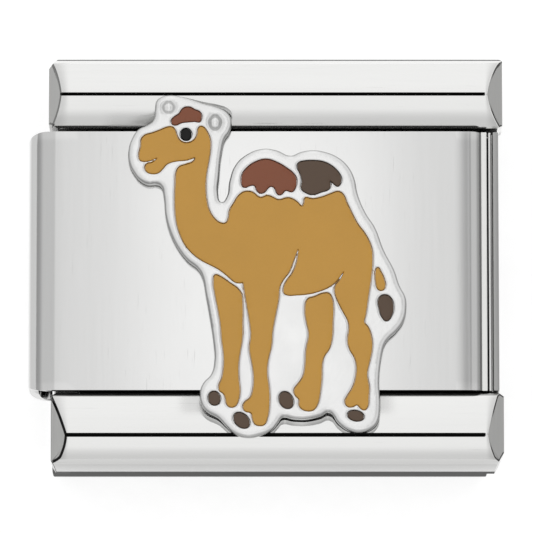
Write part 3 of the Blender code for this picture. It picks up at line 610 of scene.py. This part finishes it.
def plate():
    """The sheet's outer line is drawn from the rolled edge to the lip, swept across, and thickened."""
    shape = bmesh.new()
    turn = radians(CURL_SWEEP)
    cx, cz = CURL_CENTRE
    first = shape.verts.new((cx - CURL_RADIUS * cos(turn), 0, cz - CURL_RADIUS * sin(turn)))
    last = end_vert(
        bmesh.ops.spin(shape, geom=[first], cent=(cx, 0, cz), axis=(0, 1, 0), angle=turn, steps=26)
    )

    def straight(verts, x, z):
        """Carries the line on to a place."""
        grown = bmesh.ops.extrude_vert_indiv(shape, verts=verts)["verts"]
        for vert in grown:
            vert.co = (x, 0, z)
        return grown

    bx, bz = BEND_CENTRE
    last = straight(last, PLATE_LEFT, bz)
    last = end_vert(
        bmesh.ops.spin(shape, geom=last, cent=(bx, 0, bz), axis=(0, 1, 0), angle=pi / 2, steps=26)
    )
    rx, rz = RIGHT_CENTRE
    for x in (-4.3, -4.0, SETTLE_FROM, *(SETTLE_FROM + 0.31 * k / 6 for k in range(1, 7))):
        last = straight(last, x, PLATE_TOP)
    last = end_vert(
        bmesh.ops.spin(
            shape, geom=last, cent=(rx, 0, rz), axis=(0, 1, 0), angle=radians(RIGHT_SWEEP), steps=16
        )
    )
    for x, z in LIP:
        last = straight(last, x, z)
    last = end_vert(
        bmesh.ops.spin(
            shape, geom=last, cent=(x, 0, z - LIP_ROUND), axis=(0, 1, 0), angle=pi / 2, steps=5
        )
    )
    straight(last, x + LIP_ROUND, LIP_BOTTOM)
    for vert in shape.verts:
        if vert.co.x > SETTLE_FROM:
            sink = min(vert.co.x, rx) - SETTLE_FROM
            vert.co.z -= SETTLE * sink * sink

    # drawn across the band, with lines for the slots and the rounded corners
    line = shape.edges[:]
    bmesh.ops.translate(shape, vec=(0, -PLATE_HALF, 0), verts=shape.verts)
    at = -PLATE_HALF
    for y in (-2.6, -SLOT_OUTER, -SLOT_INNER, -1, 0, 1, SLOT_INNER, SLOT_OUTER, 2.6, PLATE_HALF):
        grown = bmesh.ops.extrude_edge_only(shape, edges=line)["geom"]
        line = [g for g in grown if isinstance(g, bmesh.types.BMEdge)
                and abs(g.verts[0].co.y - g.verts[1].co.y) < 1e-6]
        moved = [g for g in grown if isinstance(g, bmesh.types.BMVert)]
        bmesh.ops.translate(shape, vec=(0, y - at, 0), verts=moved)
        at = y

    # the slots and the rounded left corners
    cut = []
    for face in shape.faces:
        middle = face.calc_center_median()
        if SLOT_INNER < abs(middle.y) < SLOT_OUTER and middle.z < SLOT_TOP and middle.x < 0:
            cut.append(face)
    bmesh.ops.delete(shape, geom=cut, context="FACES")
    for vert in shape.verts:
        into = PLATE_LEFT + CORNER_LONG - vert.co.x
        if into > 0 and abs(vert.co.y) > SLOT_OUTER + 0.1:
            round_off = 1 - (1 - min(1, into / CORNER_LONG) ** 2) ** 0.5
            share = (abs(vert.co.y) - SLOT_OUTER) / (PLATE_HALF - SLOT_OUTER)
            vert.co.y -= CORNER_WIDE * round_off * share * (1 if vert.co.y > 0 else -1)
    bmesh.ops.recalc_face_normals(shape, faces=shape.faces)
    top = max(shape.faces, key=lambda f: f.calc_area())
    if top.normal.z < 0:
        bmesh.ops.reverse_faces(shape, faces=shape.faces)

    # the thickness of the sheet, the small rounds on its cut edges, and the lip's painted highlight
    outer_skin = set(shape.verts)
    bmesh.ops.solidify(shape, geom=shape.faces[:], thickness=PLATE_SHEET)
    for vert in shape.verts:
        if vert not in outer_skin and vert.co.x > BENT_FROM:
            vert.co.x = min(vert.co.x, LIP_INSIDE[0])
            vert.co.z = min(vert.co.z, LIP_INSIDE[1])
    bmesh.ops.remove_doubles(shape, verts=shape.verts, dist=0.0004)
    bmesh.ops.recalc_face_normals(shape, faces=shape.faces)
    soften(shape, 0.03, sharper_than=60, segments=4)
    for face in shape.faces:
        # the lip's top is painted near white as a highlight
        if face.normal.z > 0.9 and face.calc_center_median().x > LIP_HIGHLIGHT_FROM:
            face.material_index = 1
    return finished(
        shape, "rolled_face_plate", "face_half", ["face_plate"],
        [
            polished("plate_steel", (9000, 420, 9000), PLATE_COLOUR, shine=0.085, painted_shade=plate_edge_shade),
            abraded("highlit_lip", (9000, 700, 9000), 0.96, 1.0, shine=0.40),
        ],
    )


plate()


# ---------------------------------------------------------------- solder pad
# The emblem is soldered to the face on this pad of dull solder, which follows its outline and shows
# as a thin line round its foot. It is the frame's own piece, with a finish of its own.
solder = Finish.material("dull_solder", Metallic=1.0)
lumps = solder.noise((5200, 5200, 5200), detail=4, roughness=0.6)
frame["nodes"]["emblem_pad"].data.materials.clear()
frame["nodes"]["emblem_pad"].data.materials.append(
    solder.feed(
        Base_Color=solder.mix(lumps, (0.74, 0.74, 0.73), (0.86, 0.86, 0.85)),
        Roughness=0.35 + lumps * 0.3,
        Normal=solder.bump(lumps, 0.5, 0.000008),
    )
)


# ---------------------------------------------------------------- emblem plate
# A stamped camel in silver-coloured plating. Its outer edge is rounded over, thin raised borders stand
# between the pockets for the enamel, and each ear has a small ring pressed into it.
EMBLEM_TOP = 3.13
EMBLEM_BOTTOM = 2.87
POCKET_FLOOR = 3.00
OUTER_ROUND = 0.08
BORDER_ROUND = 0.03
EAR_RINGS = (               # middle, half axes and depth
    ((-2.11, 3.30), (0.115, 0.115), 0.030),
    ((-1.10, 2.97), (0.115, 0.145), 0.040),
)
EAR_RING_WIDTH = 0.036
DARKENING_FROM = 0.010        # drop below the top at which the darkening begins
DARKENING_FULL = 0.032        # and at which it is darkest
WALL_DARKENING = 0.1          # what is left of it at the foot of the walls
OUTLINE_SPACING = 0.028


def outlines(node, height):
    """The closed outlines of a node's flat top, the widest first."""
    shape = copy_of(node)
    level = {f for f in shape.faces if f.normal.z > 0.99}
    tops = {f for f in level if abs(f.calc_center_median().z - height) < 0.002}
    rim = [e for e in shape.edges if len(tops.intersection(e.link_faces)) == 1]
    after = {}
    for edge in rim:
        for vert in edge.verts:
            after.setdefault(vert, []).append(edge.other_vert(vert))
    loops = []
    left = set(after)
    while left:
        start = next(v for v in shape.verts if v in left)
        loop = [start]
        left.discard(start)
        here = start
        while True:
            onward = [v for v in after[here] if v in left]
            if not onward:
                break
            here = onward[0]
            left.discard(here)
            loop.append(here)
        loops.append([v.co.to_2d() for v in loop])
    shape.free()
    return sorted(loops, key=width_of, reverse=True)


def width_of(loop):
    return max(p.x for p in loop) - min(p.x for p in loop)


def smoothed(loop, spacing):
    """The outline as a smooth line with even spacing, still sharp where it turns sharply."""
    curve = bpy.data.curves.new("outline", "CURVE")
    curve.dimensions = "2D"
    curve.fill_mode = "NONE"
    curve.resolution_u = 6
    spline = curve.splines.new("BEZIER")
    spline.bezier_points.add(len(loop) - 1)
    spline.use_cyclic_u = True
    for k, knot in enumerate(spline.bezier_points):
        before = loop[k] - loop[k - 1]
        after = loop[(k + 1) % len(loop)] - loop[k]
        knot.co = loop[k].to_3d()
        kind = "VECTOR" if before.angle(after) > radians(48) else "AUTO"
        knot.handle_left_type = kind
        knot.handle_right_type = kind
    guide = bpy.data.objects.new("outline", curve)
    bpy.context.scene.collection.objects.link(guide)
    bpy.context.view_layer.update()
    drawn = [v.co.to_2d() for v in guide.to_mesh().vertices]
    guide.to_mesh_clear()
    bpy.data.objects.remove(guide)
    bpy.data.curves.remove(curve)
    even = [drawn[0]]
    for point in drawn[1:]:
        if (point - even[-1]).length > spacing:
            even.append(point)
    if (even[-1] - even[0]).length < spacing * 0.6:
        even.pop()
    return even


def tree_of(loops, spacing=0.006):
    """A search tree of points along the outlines."""
    points = []
    for loop in loops:
        for a, b in zip(loop, loop[1:] + loop[:1]):
            steps = max(1, int((b - a).length / spacing))
            points += [a.lerp(b, k / steps) for k in range(steps)]
    tree = kdtree.KDTree(len(points))
    for k, point in enumerate(points):
        tree.insert(point.to_3d(), k)
    tree.balance()
    return tree


def inside(point, loop):
    """Whether a point lies within an outline."""
    odd = False
    for a, b in zip(loop, loop[1:] + loop[:1]):
        if (a.y > point.y) != (b.y > point.y):
            if point.x < a.x + (point.y - a.y) * (b.x - a.x) / (b.y - a.y):
                odd = not odd
    return odd


def field_mesh(outer, holes, rings, spacing, dense=()):
    """A flat, even mesh of triangles between an outline and its holes, denser along the edges and
    around the dense places, which come first."""
    loops = [outer] + holes
    edge_tree = tree_of(loops)
    points = []
    borders = []
    for loop in loops:
        first = len(points)
        points += loop
        count = len(loop)
        borders += [(first + k, first + (k + 1) % count) for k in range(count)]
    added = list(dense)
    for distance in rings:
        for loop in loops:
            for k, here in enumerate(loop):
                along = (loop[(k + 1) % len(loop)] - loop[k - 1]).normalized()
                normal = Vector((-along.y, along.x))
                added += [here + normal * distance, here - normal * distance]
    low = Vector((min(p.x for p in outer), min(p.y for p in outer)))
    high = Vector((max(p.x for p in outer), max(p.y for p in outer)))
    row = 0
    y = low.y
    while y < high.y:
        x = low.x + spacing / 2 * (row % 2)
        while x < high.x:
            spot = Vector((x, y))
            if edge_tree.find(spot.to_3d())[2] > rings[-1] + spacing * 0.6:
                added.append(spot)
            x += spacing
        y += spacing * 0.87
        row += 1
    known = kdtree.KDTree(len(added))
    for k, spot in enumerate(added):
        known.insert(spot.to_3d(), k)
    known.balance()
    kept = set()
    for k, spot in enumerate(added):
        nearest = edge_tree.find(spot.to_3d())[2]
        gap = 0.35 * min(spacing, nearest + 0.008)
        clash = any(other in kept for _, other, _ in known.find_range(spot.to_3d(), gap))
        if nearest > 0.6 * rings[0] and (k < len(dense) or not clash):
            kept.add(k)
    points += [added[k] for k in sorted(kept)]
    flat = geometry.delaunay_2d_cdt(points, borders, [], 1, 1e-6)
    shape = bmesh.new()
    verts = [shape.verts.new(p.to_3d()) for p in flat[0]]
    for face in flat[2]:
        middle = sum((flat[0][k] for k in face), Vector((0, 0))) / 3
        if inside(middle, outer) and not any(inside(middle, hole) for hole in holes):
            shape.faces.new([verts[k] for k in face])
    bmesh.ops.delete(shape, geom=[v for v in shape.verts if not v.link_faces], context="VERTS")
    bmesh.ops.recalc_face_normals(shape, faces=shape.faces)
    if sum(f.normal.z for f in shape.faces) < 0:
        bmesh.ops.reverse_faces(shape, faces=shape.faces)
    return shape


def round_over(distance, radius):
    """How far a rounded edge has dropped at a distance from its foot."""
    if distance >= radius:
        return 0
    return radius - (radius**2 - (radius - distance) ** 2) ** 0.5


def wall_down(shape, edges, height):
    """Drops a wall from a closed border to a height, and closes it with a flat face."""
    grown = bmesh.ops.extrude_edge_only(shape, edges=edges)["geom"]
    low = [g for g in grown if isinstance(g, bmesh.types.BMVert)]
    for vert in low:
        vert.co.z = height
    found = set(low)
    rim = [g for g in grown if isinstance(g, bmesh.types.BMEdge) and found.issuperset(g.verts)]
    bmesh.ops.contextual_create(shape, geom=rim)


def borders_of(shape):
    """The open border edges of a shape, one list for each closed run."""
    open_edges = {e for e in shape.edges if e.is_boundary}
    runs = []
    while open_edges:
        first = next(e for e in shape.edges if e in open_edges)
        run = []
        front = [first]
        while front:
            edge = front.pop()
            if edge in open_edges:
                open_edges.discard(edge)
                run.append(edge)
                front += [e for v in edge.verts for e in v.link_edges if e in open_edges]
        runs.append(run)
    return runs


plating = Finish.material("emblem_plating", Metallic=1.0)
ripple = plating.noise((1500, 1500, 1500), detail=3, roughness=0.55)
grainy = plating.noise((16000, 16000, 16000), detail=3)
bright = plating.mix(grainy, (0.86, 0.86, 0.855), (0.93, 0.93, 0.925))
# the darkening attribute turns the plating dark grey: painted shade on the rounded outer edge and a
# little on the walls, and darker in the pressed ear rings
tarnish = plating.node("ShaderNodeAttribute", {"attribute_name": "tarnish"}, output=2)
silver = plating.feed(
    Base_Color=plating.mix(tarnish * 0.6, bright, (0.20, 0.20, 0.195)),
    Roughness=0.17 + ripple * 0.10 + grainy * 0.05,
    Normal=plating.bump(ripple * 0.8 + grainy * 0.2, 0.5, 0.000012),
)

camel, *pockets = [smoothed(loop, OUTLINE_SPACING) for loop in outlines("emblem_plate", EMBLEM_TOP)]
around_rings = []
for middle, axes, _ in EAR_RINGS:
    for step in range(-4, 5):
        size = 1 + step * 0.4 * EAR_RING_WIDTH / axes[0]
        for k in range(40):
            turn = 2 * pi * (k + step % 2 / 2) / 40
            out = Vector((axes[0] * size * cos(turn), axes[1] * size * sin(turn)))
            around_rings.append(Vector(middle) + out)
emblem = field_mesh(camel, pockets, (0.012, 0.03, 0.055, 0.085, 0.13), 0.06, around_rings)
to_outside = tree_of([camel])
to_pocket = tree_of(pockets)
darkening_layer = emblem.verts.layers.float.new("tarnish")    # painted shade on the rounded outer edge; darker too in the pressed ear rings
for vert in emblem.verts:
    drop = round_over(to_outside.find(vert.co)[2], OUTER_ROUND)
    for middle, axes, depth in EAR_RINGS:
        away = ((vert.co.x - middle[0]) / axes[0], (vert.co.y - middle[1]) / axes[1])
        off = (Vector(away).length - 1) * axes[0] / EAR_RING_WIDTH
        drop += depth * exp(-off * off)
    vert[darkening_layer] = min(1, max(0, drop - DARKENING_FROM) / (DARKENING_FULL - DARKENING_FROM))
    drop += round_over(to_pocket.find(vert.co)[2], BORDER_ROUND)
    vert.co.z = EMBLEM_TOP - min(drop, OUTER_ROUND)
for run in borders_of(emblem):
    outside = max(v.co.y for e in run for v in e.verts) > max(p.y for p in camel) - 0.01
    wall_down(emblem, run, EMBLEM_BOTTOM if outside else POCKET_FLOOR)
for vert in emblem.verts:
    if vert.co.z < EMBLEM_TOP - OUTER_ROUND - 0.01:
        vert[darkening_layer] = WALL_DARKENING
bmesh.ops.recalc_face_normals(emblem, faces=emblem.faces)
finished(
    emblem, "stamped_camel", "face_half", ["emblem_plate"], [silver], sharp=50,
    weighted=False,
)


# ---------------------------------------------------------------- enamel
# Soft enamel in ochre, reddish brown, dark brown and black fills the pockets. Each field is flat, with
# a rounded edge where the enamel drew back from the metal border as it cured.
ENAMEL_TOP = 3.115
ENAMEL_EDGE = 3.01
ENAMEL_ROUND = 0.025
ENAMEL_COLOURS = {
    "ochre": (0.655, 0.355, 0.075),
    "russet": (0.269, 0.095, 0.052),
    "umber": (0.125, 0.084, 0.059),
    "black": (0.004, 0.004, 0.0035),
}


def enamel(colour):
    """Glossy paint-like enamel, with faint clouds of pigment and a very slightly wavy surface."""
    paint = Finish.material("enamel_" + colour + "_paint", IOR=1.5, Specular_IOR_Level=0.25)
    clouds = paint.noise((900, 900, 900), detail=4, roughness=0.6)
    specks = paint.noise((26000, 26000, 26000), detail=2)
    waves = paint.noise((1300, 1300, 1300), detail=1)
    base = ENAMEL_COLOURS[colour]
    return paint.feed(
        Base_Color=paint.mix(
            clouds * 0.7 + specks * 0.3, [c * 0.90 for c in base], [c * 1.10 for c in base]
        ),
        Roughness=0.20 + clouds * 0.10,
        Normal=paint.bump(waves, 0.3, 0.00002),
    )


paints = {"enamel_" + colour: enamel(colour) for colour in ENAMEL_COLOURS}
slot_of = {part["node"]: part["material_slot"] for part in frame["record"]["subparts"]}
for node in sorted(n for n in frame["nodes"] if n.startswith("enamel_")):
    rim = smoothed(outlines(node, ENAMEL_TOP)[0], OUTLINE_SPACING)
    field = field_mesh(rim, [], (0.008, 0.018, 0.032), 0.07)
    edge = tree_of([rim])
    for vert in field.verts:
        vert.co.z = ENAMEL_TOP - round_over(edge.find(vert.co)[2], ENAMEL_ROUND)
    for run in borders_of(field):
        wall_down(field, run, ENAMEL_EDGE)
    bmesh.ops.recalc_face_normals(field, faces=field.faces)
    slot = slot_of[node]
    finished(field, "fired_" + node, "face_half", [node], [paints[slot]], sharp=50, weighted=False)


# ---------------------------------------------------------------- table, light and camera
# A pale table that glows a little, under a wide soft dome. The dome is a shade dimmer towards its
# two ends and its near side, a dark card stands to the right of its middle, and a small soft light
# hangs over the far side.
table_shape = bmesh.new()
bmesh.ops.create_grid(table_shape, x_segments=1, y_segments=1, size=0.6)
table_mesh = bpy.data.meshes.new("table")
table_shape.to_mesh(table_mesh)
table_shape.free()
table = bpy.data.objects.new("table", table_mesh)
bpy.context.scene.collection.objects.link(table)
card = Finish.material("table_card", Roughness=0.6, Specular_IOR_Level=0.2, Emission_Strength=0.76)
fibres = card.noise((2500, 2500, 2500), detail=4)
side_to_side, near_to_far, _ = card.axes(card.place())
# the table's colour and glow are painted darker beyond the link's two ends and towards its near side, a
# painted shade that the steel mirrors
ends = abs(side_to_side / MM).ramp(6.0, 8.5)
near_end = (-(near_to_far / MM)).ramp(5.8, 8.0)
table_shade = 1 - (1 - ends * 0.30) * (1 - near_end * 0.30)
pulp = card.mix(fibres, (0.46, 0.46, 0.46), (0.50, 0.50, 0.50))
glow = card.mix(fibres, (0.97, 0.97, 0.97), (1.0, 1.0, 1.0))
table_mesh.materials.append(
    card.feed(
        Base_Color=card.mix(table_shade, pulp, (0.0, 0.0, 0.0)),
        Emission_Color=card.mix(table_shade, glow, (0.0, 0.0, 0.0)),
    )
)

OVERHEAD = 0.156            # how far along the dome lies what flat steel mirrors
world = bpy.data.worlds.new("studio")
bpy.context.scene.world = world
world.use_nodes = True
dome = Finish(world.node_tree)
across, along, up = dome.axes(dome.place("Generated"))
level = 0.746 + along.ramp(-0.75, -0.45) * 0.27 + along.ramp(0, 0.3) * 0.02 + along.ramp(0.4, 0.7) * 0.04
level = level * (1 - abs(across).ramp(0.03, 0.14) * 0.25) * (1 - abs(across).ramp(0.8, 1.0) * 0.45)
beside = abs(along - OVERHEAD)
level = level * (1 - (1 - beside.ramp(0.05, 0.10)) * 0.105)
dark_card = across.ramp(0.06, 0.15) * (1 - across.ramp(0.20, 0.42)) * (1 - beside.ramp(0.15, 0.3))
level = level * (1 - dark_card * 0.35)
shade = world.node_tree.nodes["Background"]
dome.plug(shade.inputs["Color"], (1.0, 1.0, 1.0))
dome.plug(shade.inputs["Strength"], level)

lamp = bpy.data.lights.new("overhead", "AREA")
lamp.shape = "RECTANGLE"
lamp.size = 0.0075
lamp.size_y = 0.012
lamp.energy = 0.34 * pi * lamp.size * lamp.size_y
overhead = bpy.data.objects.new("overhead", lamp)
overhead.location = (-0.0002, 0.009, 0.060)
overhead.visible_camera = False
bpy.context.scene.collection.objects.link(overhead)

ELEVATION = radians(81)
DISTANCE = 0.150
FIELD = 0.01156
lens = bpy.data.cameras.new("camera")
lens.sensor_width = 36
lens.lens = 36 * DISTANCE / FIELD
lens.clip_start = 0.001
camera = bpy.data.objects.new("camera", lens)
target = Vector((0.000016, -0.000136, 0.00275))
back = Vector((0, -cos(ELEVATION), sin(ELEVATION)))
camera.location = target + back * DISTANCE
camera.rotation_euler = (pi / 2 - ELEVATION, 0, 0)
bpy.context.scene.collection.objects.link(camera)
bpy.context.scene.camera = camera
bpy.context.scene.view_settings.view_transform = "Standard"
